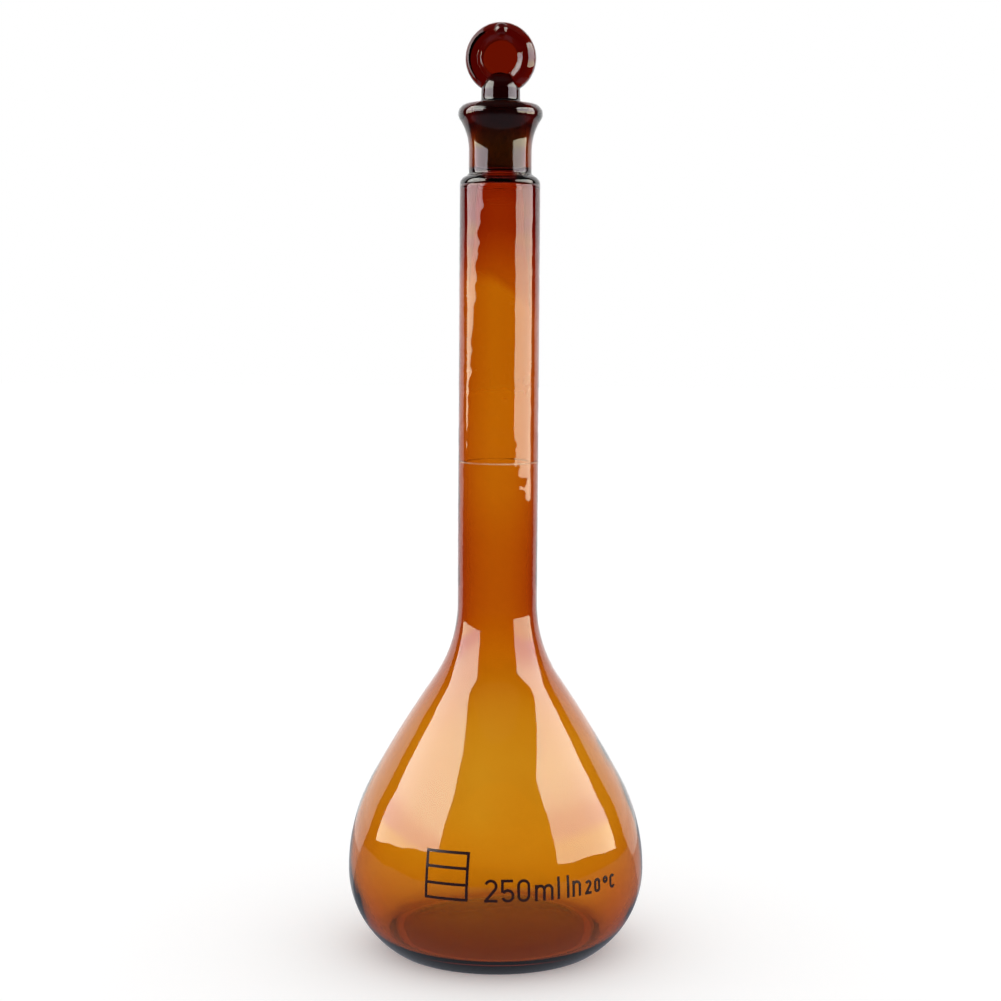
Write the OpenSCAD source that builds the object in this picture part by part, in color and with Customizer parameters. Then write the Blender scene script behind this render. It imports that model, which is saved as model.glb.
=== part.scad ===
// Volumetric flask for 250 ml, with a ground glass stopper.
// Millimetres, +Z up. The origin is the middle of the base, on the surface that the flask stands on.
// Every glass wall is a revolved outline. An outline is a chain of arcs that meet with no corner.

/* [Bulb] */
// Outside diameter of the bulb at its widest
bulb_d = 80; // [79:0.5:82]
// Outer radius of the ring that the flask stands on
foot_r = 27; // [26:0.5:28]
// Width of that ring
foot_flat = 2; // [1:0.5:3]
// Rounding between the foot and the side
foot_round = 2.8; // [2.4:0.2:3.6]
// Radius of the side below the widest level
lower_round = 25.5; // [25:0.5:28]
// Radius of the side above the widest level
upper_round = 52; // [48:1:56]
// Slope at which the upper side passes into the long shoulder, in degrees
upper_turn = 29; // [26:1:31]
// Radius of the long shoulder
shoulder_round = 325; // [280:5:380]
// Steepest slope of the shoulder, in degrees
shoulder_turn = 34.5; // [33:0.5:36]
// Thickness of the bulb's wall
bulb_wall = 1.4; // [1.2:0.1:1.8]
// Height of the pushed-up middle of the base
punt_h = 2.5; // [1:0.5:4]

/* [Neck] */
// Outside diameter of the neck
neck_d = 21.4; // [20:0.2:22]
// Bore of the neck
neck_bore = 17; // [16.6:0.2:18.4]
// Height at which the bore starts to narrow towards the socket
bore_taper_z = 172; // [150:1:195]
// Height at which the neck is sealed onto the bulb
neck_seal_z = 97; // [97:0.5:105]
// Height of the top of the neck's shoulder
neck_top_z = 208; // [204:0.5:208]
// Rounding of the neck's shoulder
neck_round = 2.3; // [1.5:0.1:2.3]
// Height of the graduation line, where the flask holds 250 ml
ring_z = 132.2; // [125:0.1:140]
// Height of the graduation line on the glass
ring_h = 0.5; // [0.3:0.1:0.8]
// Depth of the etched line
ring_depth = 0.15; // [0.05:0.05:0.3]

/* [Ground joint] */
// Diameter of the ground cone at its wide end
joint_d = 14.5; // [14:0.1:15]
// Length of the ground cone
joint_len = 15; // [13:0.5:16]
// Height of the cone's narrow end
joint_z = 209.5; // [209:0.1:210]
// Running clearance between the ground faces, on the radius
joint_gap = 0.03; // [0.02:0.01:0.08]
// Outside diameter of the socket
socket_d = 16.7; // [16.4:0.1:17.2]
// Radius of the socket's flare
flare_round = 15; // [13:0.5:16]
// Radius of the bead round the mouth
lip_round = 2.7; // [2.4:0.1:2.8]
// Distance of the bead's centre from the axis
lip_r = 8.5; // [8.4:0.1:8.8]
// Height of the bead's centre
lip_z = 224.1; // [224:0.1:224.6]

/* [Stopper] */
// Diameter of the stem
stem_d = 10.3; // [9.6:0.1:11]
// Fillet from the plug's top into the stem
stem_fillet = 2.1; // [1:0.1:2.2]
// Height of the plug's top edge
plug_top_z = 226.2; // [226:0.1:226.6]
// Rounding of the plug's lower edge
plug_round = 0.8; // [0.4:0.1:1.2]
// Height of the top of the stem's dome
stem_top_z = 235.2; // [234:0.1:236]
// Diameter of the disc
disc_d = 18.7; // [18:0.1:20]
// Thickness of the disc at its rim
disc_t = 5.6; // [5:0.1:6.4]
// Rounding of the disc's rim
disc_round = 2; // [1:0.1:2.4]
// Height of the disc's centre
disc_z = 238.6; // [238:0.1:239]
// Diameter of the round recess in each face of the disc
recess_d = 10.8; // [10:0.1:11.4]
// Depth of the recess
recess_h = 1; // [0.5:0.1:1.3]

/* [Prints] */
// Height of the large figures
figure_h = 5.8; // [5:0.1:6.5]
// Height of the small figures
small_h = 3.7; // [3:0.1:4]
// Height of the foot of every figure
figure_z = 23; // [22:0.5:26]
// Width of a printed stroke
ink_w = 0.7; // [0.5:0.05:0.8]
// Thickness of the fired-on ink
ink_t = 0.12; // [0.08:0.02:0.2]
// Width of the marking panel
panel_w = 11.6; // [10:0.2:13]
// Height of the marking panel
panel_h = 12.4; // [11:0.2:13]
// Turn of the marking panel from the front, in degrees
panel_turn = -18.4; // [-22:0.2:-17]

/* [Hidden] */

AMBER = [0.72, 0.36, 0.06, 0.75];
AMBER_THICK = [0.42, 0.13, 0.04, 0.9];
INK = [0.16, 0.05, 0.06];
ETCH = [0.93, 0.85, 0.72];

$fn = 128;
arc_step = 5;       // degrees between the points of an outline's arc
past = 1;           // how far a cutting shape runs past what it cuts
figure_step = 15;   // degrees between the points of a printed arc

// --- the outline of the bulb ---

bulb_r = bulb_d / 2;
neck_r = neck_d / 2;
bore_r = neck_bore / 2;

// Centres of the arcs, from the foot up. Neighbours share a tangent where they meet.
foot_c = [foot_r, foot_round];
lower_run = lower_round - foot_round;
lower_in = bulb_r - lower_round - foot_r;
widest_z = foot_round + sqrt(lower_run * lower_run - lower_in * lower_in);
lower_c = [bulb_r - lower_round, widest_z];
foot_turn = atan2(widest_z - foot_round, foot_r - lower_c[0]);
upper_c = [bulb_r - upper_round, widest_z];
shoulder_c = upper_c - (shoulder_round - upper_round) * unit(upper_turn);

// The base rises inside the foot ring as a shallow dome.
punt_edge = foot_r - foot_flat;
punt_round = (punt_edge * punt_edge + punt_h * punt_h) / (2 * punt_h);
punt_turn = asin(punt_edge / punt_round);
punt_c = [0, punt_h - punt_round];

function unit(a) = [cos(a), sin(a)];

function reverse(points) = [for (i = [len(points) - 1 : -1 : 0]) points[i]];

// Points of the arc round c from angle a0 to a1, without the point at a0
function arc(c, r, a0, a1, step = arc_step) =
    let (n = ceil(abs(a1 - a0) / step))
    [for (i = [1 : n]) c + r * unit(a0 + (a1 - a0) * i / n)];

// The bulb's side at a depth t under its outer face, from the foot up to a neck of radius r
function side(t, r) =
    let (
        shoulder_end = shoulder_c + (shoulder_round - t) * unit(shoulder_turn),
        throat_round = (shoulder_end[0] - r) / (1 - cos(shoulder_turn)),
        throat_c = shoulder_end + throat_round * unit(shoulder_turn)
    )
    concat(
        arc(foot_c, foot_round - t, -90, -foot_turn),
        arc(lower_c, lower_round - t, -foot_turn, 0),
        arc(upper_c, upper_round - t, 0, upper_turn),
        arc(shoulder_c, shoulder_round - t, upper_turn, shoulder_turn, 1),
        arc(throat_c, -throat_round, shoulder_turn, 0)
    );

// Half an outline of the bulb at a depth t, closed along the axis up to height top
function half_outline(t, r, top) =
    concat(
        [punt_c + (punt_round + t) * unit(90)],
        arc(punt_c, punt_round + t, 90, 90 - punt_turn),
        [[foot_r, t]],
        side(t, r),
        [[r, top], [0, top]]
    );

module bulb() {
    color(AMBER) difference() {
        rotate_extrude() polygon(half_outline(0, neck_r, neck_seal_z));
        rotate_extrude() polygon(half_outline(bulb_wall, bore_r, neck_seal_z + past));
    }
}

// --- the neck ---

bore_start_z = neck_seal_z - past;

// The neck as a solid bar with a rounded shoulder
module neck_bar() {
    rotate_extrude() polygon(concat(
        [[0, neck_seal_z], [neck_r, neck_seal_z], [neck_r, neck_top_z - neck_round]],
        arc([neck_r - neck_round, neck_top_z - neck_round], neck_round, 0, 90),
        [[0, neck_top_z]]
    ));
}

module neck_tube() {
    color(AMBER) difference() {
        neck_bar();
        translate([0, 0, bore_start_z]) cylinder(r = bore_r, h = bore_taper_z - bore_start_z);
        translate([0, 0, bore_taper_z])
            cylinder(r1 = bore_r, r2 = joint_r(neck_top_z), h = neck_top_z - bore_taper_z);
        etched_line(neck_r + past);
    }
}

// A ring from the floor of the graduation line's groove out to a radius r
module etched_line(r) {
    translate([0, 0, ring_z - ring_h / 2]) difference() {
        cylinder(r = r, h = ring_h);
        translate([0, 0, -past]) cylinder(r = neck_r - ring_depth, h = ring_h + 2 * past);
    }
}

module graduation_ring() {
    color(ETCH) etched_line(neck_r);
}

// --- the ground joint ---

// The standard taper of a ground joint is 1 in 10 on the diameter.
taper = 1 / 10;
function joint_r(z) = joint_d / 2 - (joint_z + joint_len - z) * taper / 2;

// The flare and the bead touch along the line that joins their centres.
socket_r = socket_d / 2;
flare_x = socket_r + flare_round;
flare_turn = acos((flare_x - lip_r) / (flare_round + lip_round));
flare_z = lip_z - (flare_round + lip_round) * sin(flare_turn);
lip_top_z = lip_z + lip_round;

module ground_socket() {
    color(AMBER) difference() {
        rotate_extrude() polygon(concat(
            [[0, neck_top_z], [socket_r, neck_top_z], [socket_r, flare_z]],
            arc([flare_x, flare_z], flare_round, 180, 180 - flare_turn),
            arc([lip_r, lip_z], lip_round, -flare_turn, 90, 2 * arc_step),
            [[0, lip_top_z]]
        ));
        translate([0, 0, neck_top_z - past]) cylinder(
            r1 = joint_r(neck_top_z - past), r2 = joint_r(lip_top_z + past),
            h = lip_top_z - neck_top_z + 2 * past
        );
        mouth_round();
    }
}

// Rounds the inner edge of the mouth, so that the lip is a full bead
module mouth_round() {
    rotate_extrude() difference() {
        translate([0, lip_z + lip_round / 2]) square([lip_r, lip_round]);
        translate([lip_r, lip_z]) circle(r = lip_round);
    }
}

// --- the stopper ---

stem_r = stem_d / 2;
plug_r = joint_r(plug_top_z) - joint_gap;
plug_foot_r = joint_r(joint_z) - joint_gap;
stem_foot_z = plug_top_z + stem_fillet;

module stopper_plug() {
    color(AMBER_THICK) rotate_extrude() polygon(concat(
        [[0, joint_z], [plug_foot_r - plug_round, joint_z]],
        arc([plug_foot_r - plug_round, joint_z + plug_round], plug_round, -90, 0),
        [[plug_r, plug_top_z], [stem_r + stem_fillet, plug_top_z]],
        arc([stem_r + stem_fillet, stem_foot_z], stem_fillet, 270, 180),
        [[0, stem_foot_z]]
    ));
}

// The stem ends in half a ball, which stands proud of both faces of the disc.
module stopper_stem() {
    color(AMBER_THICK) rotate_extrude() {
        translate([0, stem_foot_z]) square([stem_r, stem_top_z - stem_r - stem_foot_z]);
        intersection() {
            translate([0, stem_top_z - stem_r]) circle(r = stem_r);
            translate([0, stem_top_z - stem_r]) square(stem_r);
        }
    }
}

// Half the disc's outline from its axis to its rim, with y along the disc's axis
module disc_outline() {
    half = disc_t / 2;
    edge = [disc_d / 2 - disc_round, half - disc_round];
    recess_r = recess_d / 2;
    web = half - recess_h;
    polygon(concat(
        [[0, -web], [recess_r - recess_h, -web], [recess_r, -half]],
        arc([edge[0], -edge[1]], disc_round, -90, 0, 2 * arc_step),
        arc(edge, disc_round, 0, 90, 2 * arc_step),
        [[recess_r, half], [recess_r - recess_h, web], [0, web]]
    ));
}

module stopper_disc() {
    color(AMBER_THICK) difference() {
        translate([0, 0, disc_z]) rotate([90, 0, 0]) rotate_extrude() disc_outline();
        stopper_stem();
    }
}

// --- the prints ---

// A skin of ink on the bulb, over the heights that carry prints
ink_low = 18;
ink_high = 44;
function ink_side(t) = [for (p = side(t, neck_r)) if (p[1] > ink_low && p[1] < ink_high) p];

module ink_skin() {
    rotate_extrude() polygon(concat(ink_side(-ink_t), reverse(ink_side(0))));
}

// Prints a flat drawing on the bulb, turned from the front by an angle
module printed(turn, z) {
    intersection() {
        ink_skin();
        rotate([0, 0, turn]) translate([0, 0, z]) rotate([90, 0, 0])
            linear_extrude(height = bulb_r + past) children();
    }
}

// A pen stroke along a path, with square ends
function heading(path, i) =
    let (d = path[min(i + 1, len(path) - 1)] - path[max(i - 1, 0)]) d / norm(d);
function beside(path, d) =
    [for (i = [0 : len(path) - 1]) path[i] + d * [-heading(path, i)[1], heading(path, i)[0]]];
module stroke(path) {
    polygon(concat(beside(path, ink_w / 2), reverse(beside(path, -ink_w / 2))));
}
module upright(x, h) {
    translate([x - ink_w / 2, 0]) square([ink_w, h]);
}
module level(x0, x1, y) {
    translate([x0, y]) square([x1 - x0, ink_w]);
}
module oval(w, h) {
    polygon(concat(
        arc([0, h - w / 2], w / 2, 0, 180, figure_step),
        arc([0, w / 2], w / 2, 180, 360, figure_step)
    ));
}

// Figures stand on the x axis, centred on the y axis, with a height h and a width w.
function pen_r(w) = (w - ink_w) / 2;
back_share = 0.56;      // length of the upright of a 5, as a share of its height

module figure_2(w, h) {
    r = pen_r(w);
    stroke(concat(arc([0, h - w / 2], r, 175, -40, figure_step), [[-r, ink_w / 2]]));
    level(-w / 2, w / 2, 0);
}
module figure_5(w, h) {
    r = pen_r(w);
    back = back_share * h;
    level(-w / 2, r, h - ink_w);
    translate([0, h - back]) upright(-r, back);
    stroke(arc([0, w / 2], r, 165, -160, figure_step));
}
module figure_0(w, h) {
    difference() {
        oval(w, h);
        translate([0, ink_w]) oval(w - 2 * ink_w, h - 2 * ink_w);
    }
}
// One arch of an n or an m, with its right leg
module arch(x, w, h) {
    r = pen_r(w);
    stroke(concat(arc([x, h - w / 2], r, 200, 0, figure_step), [[x + r, 0]]));
}
module letter_n(w, h) {
    upright(-pen_r(w), h);
    arch(0, w, h);
}
module letter_m(w, h) {
    half = (w + ink_w) / 2;
    upright(-pen_r(w), h);
    for (side_x = [-1, 1]) arch(side_x * pen_r(w) / 2, half, h);
}
module letter_c(w, h) {
    r = pen_r(w);
    stroke(concat(arc([0, h - w / 2], r, 20, 180, figure_step), arc([0, w / 2], r, 180, 340, figure_step)));
}

large_w = 3.4;
m_w = 5;
n_w = 2.6;
small_w = 2.1;
degree_w = 1.9;
letter_share = 0.72;    // height of a small letter beside a large figure
letter_h = letter_share * figure_h;

// Turns of the figures round the bulb from the front, in degrees, in the order in which they are read
capacity_turns = [-1.6, 4.6, 10.5, 18.3, 24];
temperature_turns = [27.9, 31.6, 36.9, 41.3, 45.6, 49.6];

module capacity_print() {
    color(INK) {
        printed(capacity_turns[0], figure_z) figure_2(large_w, figure_h);
        printed(capacity_turns[1], figure_z) figure_5(large_w, figure_h);
        printed(capacity_turns[2], figure_z) figure_0(large_w, figure_h);
        printed(capacity_turns[3], figure_z) letter_m(m_w, letter_h);
        printed(capacity_turns[4], figure_z) upright(0, figure_h);
    }
}

module temperature_print() {
    color(INK) {
        printed(temperature_turns[0], figure_z) upright(0, figure_h);
        printed(temperature_turns[1], figure_z) letter_n(n_w, letter_h);
        printed(temperature_turns[2], figure_z) figure_2(small_w, small_h);
        printed(temperature_turns[3], figure_z) figure_0(small_w, small_h);
        printed(temperature_turns[4], figure_z + small_h - degree_w) figure_0(degree_w, degree_w);
        printed(temperature_turns[5], figure_z) letter_c(small_w, small_h);
    }
}

// A plain ruled field for handwriting
panel_rows = 3;
module marking_panel() {
    color(INK) printed(panel_turn, figure_z) {
        difference() {
            translate([-panel_w / 2, 0]) square([panel_w, panel_h]);
            translate([ink_w - panel_w / 2, ink_w]) square([panel_w - 2 * ink_w, panel_h - 2 * ink_w]);
        }
        for (i = [1 : panel_rows - 1])
            level((ink_w - panel_w) / 2, (panel_w - ink_w) / 2, i * panel_h / panel_rows - ink_w / 2);
    }
}

bulb();
neck_tube();
ground_socket();
graduation_ring();
capacity_print();
temperature_print();
marking_panel();
stopper_plug();
stopper_stem();
stopper_disc();
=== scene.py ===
import math

import bmesh
import bpy
from mathutils import Matrix, Vector, noise


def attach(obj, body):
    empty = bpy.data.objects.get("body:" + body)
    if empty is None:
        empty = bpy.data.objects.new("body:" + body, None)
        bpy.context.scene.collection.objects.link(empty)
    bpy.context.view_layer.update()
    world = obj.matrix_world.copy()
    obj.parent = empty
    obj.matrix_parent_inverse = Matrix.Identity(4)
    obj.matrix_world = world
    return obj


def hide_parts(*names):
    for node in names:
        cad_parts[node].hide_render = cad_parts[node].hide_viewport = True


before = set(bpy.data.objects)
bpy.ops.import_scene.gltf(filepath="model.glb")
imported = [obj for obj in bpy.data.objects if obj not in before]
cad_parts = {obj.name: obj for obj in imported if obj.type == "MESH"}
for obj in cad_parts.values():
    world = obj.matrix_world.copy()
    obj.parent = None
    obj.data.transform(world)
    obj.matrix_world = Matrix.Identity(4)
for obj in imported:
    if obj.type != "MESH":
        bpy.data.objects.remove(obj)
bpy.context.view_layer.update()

# Lengths are in metres, in the frame's own axes, and turns are in degrees. MM turns a drawing's millimetres
# into metres.
MM = 0.001

# --- sizes of the glass, as drawn ---

# The bulb: a pushed-up base inside a flat foot, arcs up the side, and the turns where the upper arcs meet
BULB_R, FOOT_R, FOOT_FLAT, PUNT_H = 40 * MM, 27 * MM, 2 * MM, 2.5 * MM
FOOT_ROUND, LOWER_ROUND, UPPER_ROUND, SHOULDER_ROUND = 2.8 * MM, 25.5 * MM, 52 * MM, 325 * MM
UPPER_TURN, SHOULDER_TURN = 29, 34.5

# The neck. The part above NECK_EDGE, its rounded shoulder, is in the socket's mesh.
NECK_R, NECK_TOP, NECK_ROUND = 10.7 * MM, 208 * MM, 2.3 * MM
NECK_EDGE = NECK_TOP - NECK_ROUND
RING_Z, RING_H = 132.2 * MM, 0.5 * MM

# The socket: a fillet at the weld, the waist of the bore under the ground cone, the flare and the lip
SOCKET_R, FLARE_ROUND = 8.35 * MM, 15 * MM
LIP_ROUND, LIP_R, LIP_Z = 2.7 * MM, 8.5 * MM, 224.1 * MM
JOINT_R, JOINT_LEN, JOINT_Z, JOINT_GAP, TAPER = 7.25 * MM, 15 * MM, 209.5 * MM, 0.03 * MM, 1 / 20
WELD_FILLET, WELD_BORE_R, WAIST_R, WAIST_DROP = 0.9 * MM, 5.8 * MM, 4.6 * MM, 0.6 * MM
MOUTH_Z = LIP_Z + LIP_ROUND - 0.5 * MM      # where the bead turns down into the cone
SEAM = 0.2 * MM     # how far the foot of the socket's mesh is sunk into the neck's, where the two are fused

# The stopper: a ground plug, a stem with a domed top, and a disc with a recess, a bevel and a drop of glass
PLUG_TOP, PLUG_ROUND, PLUG_TOP_ROUND = 226.2 * MM, 0.8 * MM, 0.5 * MM
STEM_R, STEM_FOOT, STEM_FILLET, STEM_TOP = 5.15 * MM, 228.3 * MM, 1.68 * MM, 235.2 * MM
DISC_R, DISC_T, DISC_Z = 9.35 * MM, 5.6 * MM, 238.6 * MM
DISC_TURN = -8      # the disc doesn't face quite forwards
RECESS_R, RECESS_H, RECESS_EDGE, RECESS_ROUND = 5.2 * MM, 0.7 * MM, 1.1 * MM, 0.7 * MM
BEVEL_START, BEVEL_END, BEVEL, BEVEL_SHIFT = 7.8 * MM, 8.7 * MM, 43, 0.4 * MM
DROP_R, DROP_ASIDE, DROP_BEHIND, DROP_BELOW = 1.9 * MM, 0.4 * MM, 0.8 * MM, 2.3 * MM

# How thick the glass is at a height, both in millimetres: heavy in the foot, thin in the blown bulb, thicker
# where the neck starts, and heaviest at the weld
WALLS = [(0, 2.8), (4, 2.2), (10, 2.1), (18, 1.85), (28, 1.6), (40, 1.45), (56, 1.42), (66, 1.58), (76, 2.0),
         (92, 2.7), (108, 2.7), (125, 2.35), (172, 2.3), (182, 2.35), (192, 3.2), (204, 4.7)]
BASE_WALL = 4.7 * MM                            # over the pushed-up base
FLOOR_Z, FLOOR_CORNER = 4.2 * MM, 0.6 * MM      # lowest inner bottom, and how softly the wall rises from it
INNER_TOP = NECK_TOP - 3.5 * MM                 # the inner face stops opposite this height

# Waves of the blown glass: how fine they are, their height in millimetres on the neck and on the bulb, and
# the place in the noise that they are read from
OUTER_WAVES = [(46, 0.03, 0.09, (3.7, 1.3, 8.1)),
               (150, 0.014, 0.038, (5.1, 2.2, 0.4)),
               (330, 0.032, 0.028, (7.4, 6.1, 2.9))]
INNER_WAVES = [(70, 0.05, 0.13, (9.3, 0.8, 2.6))]
BULB_BLEND = 14 * MM            # how far outside the neck's radius the bulb's own waves are fully there
DRAW_H = 0.06                   # height, in millimetres, of the long waves that drawing leaves along the neck
SOCKET_WAVE, SOCKET_WAVE_H = 210, 0.03 * MM

# The step inside the neck, where the wall gets thicker: it slants down to the right, softer at the sides
STEP_Z, STEP_T = 180 * MM, 0.65
STEP_SLANT, STEP_UNEVEN = 4 * MM, 2.5 * MM
STEP_RUN, STEP_SIDE_RUN = 2.5 * MM, 9 * MM

TURNS = 200                     # sides of a revolved mesh
NECK_STEP = 0.75 * MM           # the neck's rings are this far apart


# --- outlines. A point is (distance from the axis, height) ---

def unit(degrees):
    return Vector((math.cos(math.radians(degrees)), math.sin(math.radians(degrees))))


def arc(centre, radius, start, end, step=3):
    """Points of an arc from the turn start to the turn end, without its first one."""
    n = max(1, math.ceil(abs(end - start) / step))
    return [Vector(centre) + radius * unit(start + (end - start) * i / n) for i in range(1, n + 1)]


def straight(start, end, step):
    """Points of a line, without its first one."""
    start, end = Vector(start), Vector(end)
    n = max(1, math.ceil((end - start).length / step))
    return [start.lerp(end, i / n) for i in range(1, n + 1)]


def wall_at(z):
    """Wall thickness at a height, on a smooth curve through the places that WALLS names."""
    h = min(WALLS[-1][0], max(0, z / MM))
    i = max(k for k in range(len(WALLS) - 1) if WALLS[k][0] <= h)
    (z0, t0), (z1, t1) = WALLS[i], WALLS[i + 1]

    def slope(k):
        (za, ta), (zb, tb) = WALLS[max(0, k - 1)], WALLS[min(len(WALLS) - 1, k + 1)]
        return (tb - ta) / (zb - za)

    span = z1 - z0
    u = (h - z0) / span
    curve = (2 * u ** 3 - 3 * u ** 2 + 1) * t0 + (3 * u ** 2 - 2 * u ** 3) * t1
    curve += (u ** 3 - 2 * u ** 2 + u) * span * slope(i) + (u ** 3 - u ** 2) * span * slope(i + 1)
    return curve * MM


def joint_r(z):
    """Radius of the ground cone at a height."""
    return JOINT_R - (JOINT_Z + JOINT_LEN - z) * TAPER


def bulb_arcs():
    """The bulb's outline from the foot up to the neck: centres worked out so that the arcs share tangents."""
    run, inset = LOWER_ROUND - FOOT_ROUND, BULB_R - LOWER_ROUND - FOOT_R
    widest = FOOT_ROUND + math.sqrt(run * run - inset * inset)
    lower, upper = Vector((BULB_R - LOWER_ROUND, widest)), Vector((BULB_R - UPPER_ROUND, widest))
    foot_turn = math.degrees(math.atan2(widest - FOOT_ROUND, FOOT_R - lower.x))
    shoulder = upper - (SHOULDER_ROUND - UPPER_ROUND) * unit(UPPER_TURN)
    end = shoulder + SHOULDER_ROUND * unit(SHOULDER_TURN)
    throat = (end.x - NECK_R) / (1 - math.cos(math.radians(SHOULDER_TURN)))
    throat_centre = end + throat * unit(SHOULDER_TURN)
    return (
        arc((FOOT_R, FOOT_ROUND), FOOT_ROUND, -90, -foot_turn)
        + arc(lower, LOWER_ROUND, -foot_turn, 0)
        + arc(upper, UPPER_ROUND, 0, UPPER_TURN, 2)
        + arc(shoulder, SHOULDER_ROUND, UPPER_TURN, SHOULDER_TURN, 0.4)
        + arc(throat_centre, -throat, SHOULDER_TURN, 0)
    )


def base_points():
    """The pushed-up base, from the axis out to the foot ring."""
    edge = FOOT_R - FOOT_FLAT
    radius = (edge * edge + PUNT_H * PUNT_H) / (2 * PUNT_H)
    turn = math.degrees(math.asin(edge / radius))
    dome = arc((0, PUNT_H - radius), radius, 90, 90 - turn, 1)
    return [Vector((0, PUNT_H))] + dome + [Vector((FOOT_R - FOOT_FLAT / 2, 0)), Vector((FOOT_R, 0))]


def vessel_outside():
    side = base_points() + bulb_arcs()
    side += straight(side[-1], (NECK_R, NECK_EDGE), NECK_STEP)
    return side


def neck_end():
    """The flat end of the neck's mesh, from the outside in to the bore. The socket's mesh is sunk into it."""
    return straight((NECK_R, NECK_EDGE), (WELD_BORE_R, NECK_EDGE), 1 * MM)


def vessel_inside(outside):
    """The inner face from the neck's top down to the axis: the wall's thickness inside the outer face. The
    flat of the foot has no inner face of its own, and the middle closes in one small cone."""
    foot_h, cone_r, cone_h = 0.4 * MM, 0.5 * MM, 0.02 * MM
    inner = []
    for before, here in reversed(list(zip(outside, outside[1:]))):
        under_foot = here.x > FOOT_R - FOOT_FLAT and here.y < foot_h
        if under_foot or here.y > INNER_TOP:
            continue
        along = (here - before).normalized()
        on_base = here.x <= FOOT_R - FOOT_FLAT and here.y <= PUNT_H
        thick = BASE_WALL if on_base else wall_at(here.y)
        point = here - Vector((along.y, -along.x)) * thick
        above = point.y - FLOOR_Z
        point.y = FLOOR_Z + (above + math.hypot(above, FLOOR_CORNER)) / 2
        inner.append(point)
    inner = [p for p in inner if p.x > cone_r]
    return inner + [Vector((0, inner[-1].y + cone_h))]


def revolve(name, outline, shape=None, closed=False):
    """A closed mesh from an outline that starts and ends on the axis, or from a ring's outline when closed is
    true. shape moves a point of the surface. It is given the point and the point's number in the outline."""
    on_axis = 1e-7
    bm = bmesh.new()
    rings = []
    for i, p in enumerate(outline):
        if p.x < on_axis:
            co = Vector((0, 0, p.y))
            rings.append([bm.verts.new(shape(co, i) if shape else co)])
            continue
        ring = []
        for k in range(TURNS):
            a = 2 * math.pi * k / TURNS
            co = Vector((p.x * math.sin(a), -p.x * math.cos(a), p.y))
            ring.append(bm.verts.new(shape(co, i) if shape else co))
        rings.append(ring)
    if closed:
        rings.append(rings[0])
    for low, high in zip(rings, rings[1:]):
        for k in range(TURNS):
            n = (k + 1) % TURNS
            if len(low) == 1:
                bm.faces.new((low[0], high[n], high[k]))
            elif len(high) == 1:
                bm.faces.new((low[k], low[n], high[0]))
            else:
                bm.faces.new((low[k], low[n], high[n], high[k]))
    bmesh.ops.recalc_face_normals(bm, faces=bm.faces)
    mesh = bpy.data.meshes.new(name)
    bm.to_mesh(mesh)
    bm.free()
    mesh.shade_smooth()
    obj = bpy.data.objects.new(name, mesh)
    bpy.context.scene.collection.objects.link(obj)
    return obj


# --- unevenness of the blown glass ---

def ease(u):
    """A smooth step from 0 to 1."""
    u = min(1, max(0, u))
    return u * u * (3 - 2 * u)


def fade(z, foot, foot_run, top, top_run):
    """1 in the middle of the height, 0 under foot and over top, and an even slide between them."""
    return ease((z - foot) / foot_run) * ease((top - z) / top_run)


def on_bulb(co):
    """0 on the neck, 1 on the bulb."""
    return ease((math.hypot(co.x, co.y) - NECK_R) / BULB_BLEND)


def waves(co, rows):
    """Height of the waves in the rows at a point, in millimetres."""
    bulb = on_bulb(co)
    return sum(noise.noise(co * fine + Vector(place)) * (neck_h + (bulb_h - neck_h) * bulb)
               for fine, neck_h, bulb_h, place in rows)


def swell(co):
    """How far the blown glass stands off a true circle at a point of the outer face, in metres."""
    r = math.hypot(co.x, co.y)
    around_axis = Vector((co.x / r, co.y / r, 0)) * 3.2 + Vector((0.6, 4.4, co.z * 9))
    drawn = noise.noise(around_axis) * DRAW_H * (1 - on_bulb(co))
    level = fade(co.z, foot=4 * MM, foot_run=12 * MM, top=NECK_TOP - 3 * MM, top_run=10 * MM)
    return (waves(co, OUTER_WAVES) + drawn) * MM * level


def inner_swell(co):
    """The same for the inner face, which also has the step inside the neck."""
    r = math.hypot(co.x, co.y)
    right, back = co.x / r, co.y / r
    uneven = noise.noise(Vector((right * 1.4, back * 1.4, 6.5))) * STEP_UNEVEN
    step_z = STEP_Z - STEP_SLANT * right + uneven
    step = ease((co.z - step_z) / (STEP_RUN + STEP_SIDE_RUN * right ** 2) + 0.5)
    level = fade(co.z, foot=8 * MM, foot_run=12 * MM, top=NECK_TOP - 6 * MM, top_run=8 * MM)
    return (waves(co, INNER_WAVES) - STEP_T * step) * MM * level


def pushed(co, distance):
    """The point, moved away from the axis."""
    return co + Vector((co.x, co.y, 0)).normalized() * distance


# --- the pieces of glass ---

def make_vessel():
    side = vessel_outside()
    outer = side + neck_end()
    outline = outer + vessel_inside(side)

    def blown(co, i):
        if co.x == 0 and co.y == 0:
            return co
        return pushed(co, swell(co) if i < len(outer) else inner_swell(co))

    return revolve("bulb_and_neck", outline, blown)


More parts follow.
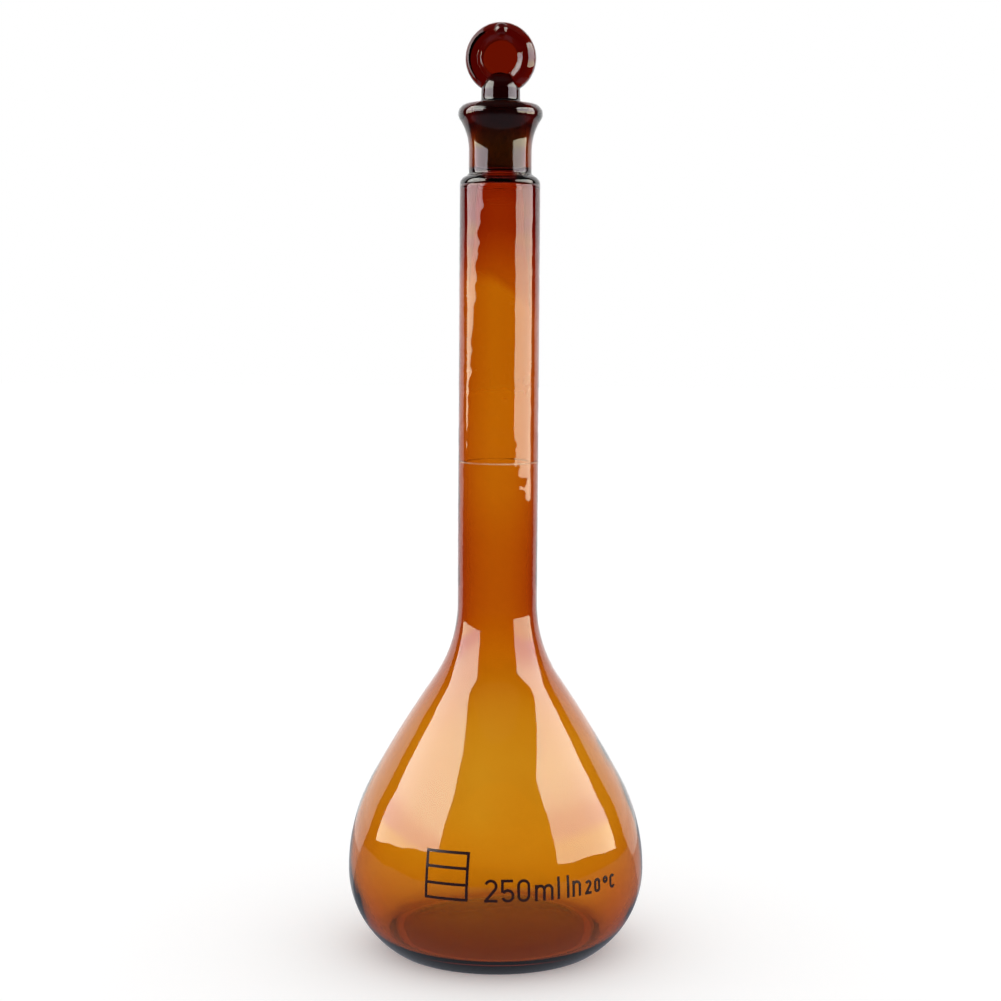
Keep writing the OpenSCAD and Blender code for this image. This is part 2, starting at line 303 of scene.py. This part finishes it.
def make_socket():
    """The neck's rounded shoulder, the weld, the socket, its flare and the bead round the mouth, with the
    ground cone and the waist of the bore inside."""
    flare_x = SOCKET_R + FLARE_ROUND
    turn = math.degrees(math.acos((flare_x - LIP_R) / (FLARE_ROUND + LIP_ROUND)))
    flare_z = LIP_Z - (FLARE_ROUND + LIP_ROUND) * math.sin(math.radians(turn))
    foot = NECK_EDGE - SEAM
    points = [Vector((NECK_R - SEAM, foot)), Vector((NECK_R, NECK_EDGE))]
    points += arc((NECK_R - NECK_ROUND, NECK_EDGE), NECK_ROUND, 0, 88, 8)
    points += arc((SOCKET_R + WELD_FILLET, NECK_TOP + WELD_FILLET), -WELD_FILLET, 80, 0, 12)
    points += straight(points[-1], (SOCKET_R, flare_z), 1 * MM)
    points += arc((flare_x, flare_z), FLARE_ROUND, 180, 180 - turn, 2)
    points += arc((LIP_R, LIP_Z), LIP_ROUND, -turn, 115, 6)
    points += straight(points[-1], (joint_r(MOUTH_Z), MOUTH_Z), 0.5 * MM)
    points += straight(points[-1], (joint_r(JOINT_Z), JOINT_Z), 1 * MM)
    points += straight(points[-1], (WAIST_R, JOINT_Z - WAIST_DROP), 0.5 * MM)
    points += [Vector((WELD_BORE_R, foot))]
    true_r = SOCKET_R - 0.4 * MM        # the cone and the bore, inside this radius, stay true

    def uneven(co, i):
        if math.hypot(co.x, co.y) < true_r:
            return co
        return pushed(co, noise.noise(co * SOCKET_WAVE + Vector((1.9, 7.7, 3.1))) * SOCKET_WAVE_H)

    return revolve("ground_socket_glass", points, uneven, closed=True)


def make_ring_line():
    """The etched line, a hair proud of the wavy neck."""
    half, proud, deep = RING_H * 0.4, 0.012 * MM, 0.03 * MM
    outline = [Vector((NECK_R + out, RING_Z + up)) for out, up in
               ((proud, -half), (proud, half), (-deep, half), (-deep, -half))]
    return revolve("etched_line", outline, lambda co, i: pushed(co, swell(co)), closed=True)


def make_stem():
    """The ground plug and the stem."""
    foot_r, top_r = joint_r(JOINT_Z) - JOINT_GAP, joint_r(PLUG_TOP) - JOINT_GAP
    outline = [Vector((0, JOINT_Z))]
    outline += straight(outline[-1], (foot_r - PLUG_ROUND, JOINT_Z), 1 * MM)
    outline += arc((foot_r - PLUG_ROUND, JOINT_Z + PLUG_ROUND), PLUG_ROUND, -90, 0, 10)
    outline += straight(outline[-1], (top_r, PLUG_TOP - PLUG_TOP_ROUND), 1 * MM)
    outline += arc((top_r - PLUG_TOP_ROUND, PLUG_TOP - PLUG_TOP_ROUND), PLUG_TOP_ROUND, 0, 75, 15)
    outline += arc((STEM_R + STEM_FILLET, STEM_FOOT), STEM_FILLET, 262, 180, 9)
    outline += straight(outline[-1], (STEM_R, STEM_TOP - STEM_R), 1 * MM)
    outline += arc((0, STEM_TOP - STEM_R), STEM_R, 0, 90, 6)
    outline[-1].x = 0
    return revolve("stopper_glass", outline)


def make_disc():
    """The disc, lying flat with its middle at the origin. Both its faces have the recess and the bevel."""
    half = DISC_T / 2
    web = half - RECESS_H
    recess_end = RECESS_R + RECESS_EDGE
    side = [Vector((0, -web))]
    side += straight(side[-1], (RECESS_R - RECESS_ROUND, -web), 0.8 * MM)
    side += arc((RECESS_R - RECESS_ROUND, -web - RECESS_ROUND), RECESS_ROUND, 90, 30, 12)
    side += arc((recess_end, -half + RECESS_ROUND), RECESS_ROUND, -150, -90, 12)
    bevel_drop = (BEVEL_END - BEVEL_START) * math.tan(math.radians(BEVEL))
    edge_round = (DISC_R - BEVEL_END) / (1 - math.cos(math.radians(90 - BEVEL)))
    side += straight(side[-1], (BEVEL_START, -half), 0.4 * MM)
    side += straight(side[-1], (BEVEL_END, -half + bevel_drop), 0.4 * MM)
    edge_y = -half + bevel_drop + edge_round * math.sin(math.radians(90 - BEVEL))
    side += arc((DISC_R - edge_round, edge_y), edge_round, BEVEL - 90, 0, 10)
    outline = side + [Vector((p.x, -p.y)) for p in reversed(side)][1:]

    def off_centre(co, i):
        """The bevel starts further out on one side than on the other."""
        r = math.hypot(co.x, co.y)
        rising = (r - recess_end) / (BEVEL_START - recess_end)
        falling = (BEVEL_END - r) / (BEVEL_END - BEVEL_START)
        return co - Vector((BEVEL_SHIFT * max(0, min(rising, falling)), 0, 0))

    return revolve("disc", outline, off_centre)


def make_stopper():
    stopper = make_stem()
    place = Matrix.Translation((0, 0, DISC_Z)) @ Matrix.Rotation(math.radians(DISC_TURN), 4, "Z")
    disc = make_disc()
    disc.data.transform(place @ Matrix.Rotation(math.radians(90), 4, "X"))

    # The drop of glass that is left at the top of the rim, where the disc was pinched off
    ball = [Vector((0, -DROP_R))] + arc((0, 0), DROP_R, -90, 90, 10)[:-1] + [Vector((0, DROP_R))]
    drop = revolve("drop", ball)
    spot = (DROP_ASIDE, DROP_BEHIND - DISC_T / 2, DISC_R - DROP_BELOW)
    drop.data.transform(place @ Matrix.Translation(spot))
    for other in (disc, drop):
        join = stopper.modifiers.new("join", "BOOLEAN")
        join.operation, join.solver, join.object = "UNION", "EXACT", other
    mesh = bpy.data.meshes.new_from_object(stopper.evaluated_get(bpy.context.evaluated_depsgraph_get()))
    stopper.modifiers.clear()
    stopper.data = mesh
    bpy.data.objects.remove(disc)
    bpy.data.objects.remove(drop)
    mesh.shade_smooth()
    mesh.set_sharp_from_angle(angle=math.radians(50))
    return stopper


# --- materials ---

# What a metre of each glass takes from red, green and blue light
AMBER = (148, 452, 1600)
SOCKET_AMBER = (300, 760, 2400)
DARK_AMBER = (470, 1250, 3600)
GLASS_IOR = 1.48

# The ground faces of the cone and the plug: lowest and highest place, and the radius that they are inside
GROUND = (JOINT_Z, LIP_Z + 0.5 * MM, SOCKET_R - 0.5 * MM)
GROUND_ROUGHNESS, DULLEST = 0.3, 0.04

# Colours of the prints, which vary between two, and of the scratched line
INK_DARK, INK_LIGHT = (0.014, 0.0022, 0.0038, 1), (0.030, 0.005, 0.008, 1)
ETCHED = (0.85, 0.66, 0.46, 1)


def new_material(name):
    material = bpy.data.materials.new(name)
    material.use_nodes = True
    nodes = material.node_tree.nodes
    return material, nodes, material.node_tree.links, nodes["Principled BSDF"]


def on_object(nodes, links, kind):
    """A new node that reads the object's own coordinates."""
    node, place = nodes.new(kind), nodes.new("ShaderNodeTexCoord")
    links.new(place.outputs["Object"], node.inputs["Vector"])
    return node


def math_node(nodes, links, operation, a, b=0):
    """The result of a sum. a and b are numbers or outputs of other nodes."""
    node = nodes.new("ShaderNodeMath")
    node.operation = operation
    for socket, value in zip(node.inputs, (a, b)):
        if isinstance(value, (int, float)):
            socket.default_value = value
        else:
            links.new(value, socket)
    return node.outputs["Value"]


def rescaled(nodes, links, value, old, new=(0, 1)):
    """An output whose range old becomes the range new."""
    node = nodes.new("ShaderNodeMapRange")
    node.inputs["From Min"].default_value, node.inputs["From Max"].default_value = old
    node.inputs["To Min"].default_value, node.inputs["To Max"].default_value = new
    links.new(value, node.inputs["Value"])
    return node.outputs["Result"]


def film(nodes, links):
    """Roughness of handling marks: here and there the polish is a little dull."""
    marks = on_object(nodes, links, "ShaderNodeTexNoise")
    marks.inputs["Scale"].default_value = 55
    marks.inputs["Detail"].default_value = 4
    return rescaled(nodes, links, marks.outputs["Fac"], (0.5, 0.75), (0, DULLEST))


def ground_zone(nodes, links, low, high, radius):
    """GROUND_ROUGHNESS on the faces between low and high that are inside the radius, and 0 elsewhere."""
    split = on_object(nodes, links, "ShaderNodeSeparateXYZ")
    x, y, z = (split.outputs[axis] for axis in "XYZ")
    squares = [math_node(nodes, links, "MULTIPLY", value, value) for value in (x, y)]
    from_axis = math_node(nodes, links, "SQRT", math_node(nodes, links, "ADD", *squares))
    zone = math_node(nodes, links, "LESS_THAN", from_axis, radius)
    for side, height in (("GREATER_THAN", low), ("LESS_THAN", high)):
        zone = math_node(nodes, links, "MULTIPLY", zone, math_node(nodes, links, side, z, height))
    return math_node(nodes, links, "MULTIPLY", zone, GROUND_ROUGHNESS)


def glass(name, absorbed, ground=None):
    """Clear coloured glass. ground is (lowest, highest, radius) of the faces that are ground, if any are."""
    material, nodes, links, shader = new_material(name)
    shader.inputs["Base Color"].default_value = (1, 1, 1, 1)
    shader.inputs["Transmission Weight"].default_value = 1
    shader.inputs["IOR"].default_value = GLASS_IOR
    shader.inputs["Roughness"].default_value = 0        # kept for wherever the roughness link is not followed
    rough = film(nodes, links)
    if ground:
        rough = math_node(nodes, links, "ADD", rough, ground_zone(nodes, links, *ground))
    links.new(rough, shader.inputs["Roughness"])
    most = max(absorbed)
    volume = nodes.new("ShaderNodeVolumeAbsorption")
    volume.inputs["Color"].default_value = tuple(1 - a / most for a in absorbed) + (1,)
    volume.inputs["Density"].default_value = most
    links.new(volume.outputs["Volume"], nodes["Material Output"].inputs["Volume"])
    return material


def ink():
    material, nodes, links, shader = new_material("fired_ink")
    shader.inputs["Roughness"].default_value = 0.3
    shader.inputs["Specular IOR Level"].default_value = 0.3
    speck = nodes.new("ShaderNodeTexNoise")
    speck.inputs["Scale"].default_value = 900
    mix = nodes.new("ShaderNodeMix")
    mix.data_type = "RGBA"
    mix.inputs["A"].default_value, mix.inputs["B"].default_value = INK_DARK, INK_LIGHT
    links.new(speck.outputs["Fac"], mix.inputs["Factor"])
    links.new(mix.outputs["Result"], shader.inputs["Base Color"])
    return material


def etch():
    """A scratched line: white where it is deep, nearly gone where it is worn."""
    material, nodes, links, shader = new_material("etched_line")
    shader.inputs["Base Color"].default_value = ETCHED
    shader.inputs["Roughness"].default_value = 0.6
    wear = on_object(nodes, links, "ShaderNodeTexNoise")
    wear.inputs["Scale"].default_value = 110
    depth = rescaled(nodes, links, wear.outputs["Fac"], (0.35, 0.65), (0.10, 0.45))
    links.new(depth, shader.inputs["Alpha"])
    return material


# --- the studio. Azimuth 0 is towards the camera, and 90 is to the right of it ---

REAR = 122                                      # the white backdrop starts this far round from the camera
ROOM_LOW, ROOM_HIGH, CURTAIN_R, BACKDROP_R = -1, 3.5, 2.5, 2.4
MIDDLE_R, TABLE_FRONT_R, TABLE_REAR_R = 0.001, 0.35, 0.2
TABLE_Z = -0.0004                               # just under the floor
CEILING_Z, CEILING_HALF, FLOOR_HALF = 3.2, 3, 4
FLOOR_GREY, FLOOR_GLOW = 0.8, 0.24
ROOM_STEPS = 24                                 # sides of a curved stretch of wall or table

# Colours of what the glass mirrors
WHITE, DIM = (1, 1, 1), (0.5, 0.5, 0.55)
TABLE_FRONT, TABLE_REAR = (0.9, 0.95, 1.1), (0.97, 0.98, 1.05)

# The light panels: how bright they are, and their tints, each at its place between two heights
PANEL_LIGHT, PANEL_HEIGHTS = 8.4, (0.2, 0.6)
PANEL_TINTS = ((0, (0.88, 0.83, 0.61)), (0.22, (0.70, 0.63, 0.67)),
               (0.5, (0.72, 0.66, 0.70)), (1, (0.97, 0.98, 0.90)))


def tint_by_height(nodes, links, light):
    split = on_object(nodes, links, "ShaderNodeSeparateXYZ")
    ramp = nodes.new("ShaderNodeValToRGB")
    for position, _ in PANEL_TINTS[1:-1]:
        ramp.color_ramp.elements.new(position)
    for stop, (_, tint) in zip(ramp.color_ramp.elements, PANEL_TINTS):
        stop.color = (*tint, 1)
    links.new(rescaled(nodes, links, split.outputs["Z"], PANEL_HEIGHTS), ramp.inputs["Fac"])
    links.new(ramp.outputs["Color"], light.inputs["Color"])


def mirrored(name, verts, faces, strength, colour=None):
    """A glowing surface, seen only as a reflection in the glass. With no colour it has the panels' tints."""
    mesh = bpy.data.meshes.new(name)
    mesh.from_pydata(verts, [], faces)
    obj = bpy.data.objects.new(name, mesh)
    bpy.context.scene.collection.objects.link(obj)
    material = bpy.data.materials.new(name)
    material.use_nodes = True
    nodes, links = material.node_tree.nodes, material.node_tree.links
    nodes.clear()
    light = nodes.new("ShaderNodeEmission")
    light.inputs["Strength"].default_value = strength
    if colour:
        light.inputs["Color"].default_value = (*colour, 1)
    else:
        tint_by_height(nodes, links, light)
    out = nodes.new("ShaderNodeOutputMaterial")
    links.new(light.outputs["Emission"], out.inputs["Surface"])
    mesh.materials.append(material)
    obj.visible_camera = obj.visible_diffuse = obj.visible_transmission = obj.visible_shadow = False
    return obj


def around(azimuth, distance):
    a = math.radians(azimuth)
    return (distance * math.sin(a), -distance * math.cos(a))


def strip(name, start, end, edges, strength, colour):
    """A surface between two azimuths. Its two edges are each (distance, height)."""
    turns = [start + (end - start) * i / ROOM_STEPS for i in range(ROOM_STEPS + 1)]
    verts = [(*around(turn, distance), z) for turn in turns for distance, z in edges]
    faces = [(2 * i, 2 * i + 2, 2 * i + 3, 2 * i + 1) for i in range(ROOM_STEPS)]
    return mirrored(name, verts, faces, strength, colour)


def wall(name, start, end, distance, strength, colour):
    return strip(name, start, end, ((distance, ROOM_LOW), (distance, ROOM_HIGH)), strength, colour)


def table(name, start, end, near, far, strength, colour):
    return strip(name, start, end, ((near, TABLE_Z), (far, TABLE_Z)), strength, colour)


def panel(name, first, second):
    """A light panel between two upright edges, each ((x, y), (its lower end, its upper end))."""
    verts = [(*place, ends[k]) for (place, ends), k in ((first, 0), (second, 0), (second, 1), (first, 1))]
    return mirrored(name, verts, [(0, 1, 2, 3)], PANEL_LIGHT)


def square(half, z):
    return [(-half, -half, z), (half, -half, z), (half, half, z), (-half, half, z)]


def make_floor():
    mesh = bpy.data.meshes.new("floor")
    mesh.from_pydata(square(FLOOR_HALF, 0), [], [(0, 1, 2, 3)])
    floor = bpy.data.objects.new("floor", mesh)
    bpy.context.scene.collection.objects.link(floor)
    material, nodes, links, shader = new_material("floor")
    shader.inputs["Base Color"].default_value = (FLOOR_GREY, FLOOR_GREY, FLOOR_GREY, 1)
    shader.inputs["Roughness"].default_value = 0.8
    shader.inputs["Specular IOR Level"].default_value = 0
    shader.inputs["Emission Color"].default_value = (1, 1, 1, 1)
    shader.inputs["Emission Strength"].default_value = FLOOR_GLOW
    mesh.materials.append(material)
    floor.visible_glossy = False


def make_studio():
    front, rear = (-REAR, REAR), (REAR, 360 - REAR)
    wall("curtain", *front, CURTAIN_R, 0.03, DIM)
    wall("backdrop", *rear, BACKDROP_R, 1.25, WHITE)
    table("table_front", *front, MIDDLE_R, TABLE_FRONT_R, 0.24, TABLE_FRONT)
    table("floor_front", *front, TABLE_FRONT_R, CURTAIN_R, 0.06, DIM)
    table("table_rear", *rear, MIDDLE_R, TABLE_REAR_R, 0.5, TABLE_REAR)
    table("floor_rear", *rear, TABLE_REAR_R, CURTAIN_R, 1.05, WHITE)
    ceiling = mirrored("ceiling", square(CEILING_HALF, CEILING_Z), [(0, 1, 2, 3)], 0.08, WHITE)
    ceiling.visible_transmission = True         # it is seen through the glass as well
    panel("panel_right", (around(47, 0.72), (0.088, 0.68)), (around(107, 1.25), (0.010, 1.05)))
    panel("panel_left", ((-1.09, -1.05), (0.315, 1.62)), ((-1.25, 0.40), (0.05, 1.42)))

    world = bpy.data.worlds.new("studio")
    bpy.context.scene.world = world
    world.use_nodes = True
    world.node_tree.nodes["Background"].inputs["Color"].default_value = (1, 1, 1, 1)
    world.node_tree.nodes["Background"].inputs["Strength"].default_value = 1.0
    make_floor()


# --- the camera and the renderer ---

LENS_MM, SENSOR_MM = 72.65, 36
CAMERA_AT = (0.00068, -0.5405, 0.1726)
CAMERA_PITCH, CAMERA_ROLL = 5.384, 0.39         # it looks down a little, and isn't quite level


def make_camera():
    data = bpy.data.cameras.new("camera")
    data.lens = LENS_MM
    data.sensor_width = SENSOR_MM
    data.clip_end = 20
    camera = bpy.data.objects.new("camera", data)
    bpy.context.scene.collection.objects.link(camera)
    pitch, roll = math.radians(90) - math.radians(CAMERA_PITCH), math.radians(CAMERA_ROLL)
    turn = Matrix.Rotation(pitch, 4, "X") @ Matrix.Rotation(roll, 4, "Z")
    camera.matrix_world = Matrix.Translation(CAMERA_AT) @ turn
    bpy.context.scene.camera = camera


def set_renderer():
    """Enough bounces for light to pass four walls of glass and the stopper."""
    scene = bpy.context.scene
    scene.view_settings.view_transform = "Standard"
    scene.cycles.max_bounces = 24
    scene.cycles.transmission_bounces = 20
    scene.cycles.glossy_bounces = 10
    scene.cycles.transparent_max_bounces = 12
    scene.cycles.caustics_refractive = True
    scene.cycles.caustics_reflective = False
    scene.cycles.sample_clamp_indirect = 4
    scene.cycles.use_denoising = True


def main():
    make_camera()
    make_studio()

    vessel = make_vessel()
    vessel.data.materials.append(glass("amber_glass", AMBER))
    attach(vessel, "flask")
    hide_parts("bulb", "neck_tube")

    socket = make_socket()
    socket.data.materials.append(glass("socket_glass", SOCKET_AMBER, GROUND))
    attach(socket, "flask")
    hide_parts("ground_socket")

    stopper = make_stopper()
    stopper.data.materials.clear()
    stopper.data.materials.append(glass("stopper_glass", DARK_AMBER, GROUND))
    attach(stopper, "stopper")
    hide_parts("stopper_plug", "stopper_stem", "stopper_disc")

    line = make_ring_line()
    line.data.materials.append(etch())
    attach(line, "flask")
    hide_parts("graduation_ring")

    inks = ink()
    for name in ("capacity_print", "temperature_print", "marking_panel"):
        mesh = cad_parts[name].data
        mesh.materials.clear()
        mesh.materials.append(inks)

    set_renderer()


main()
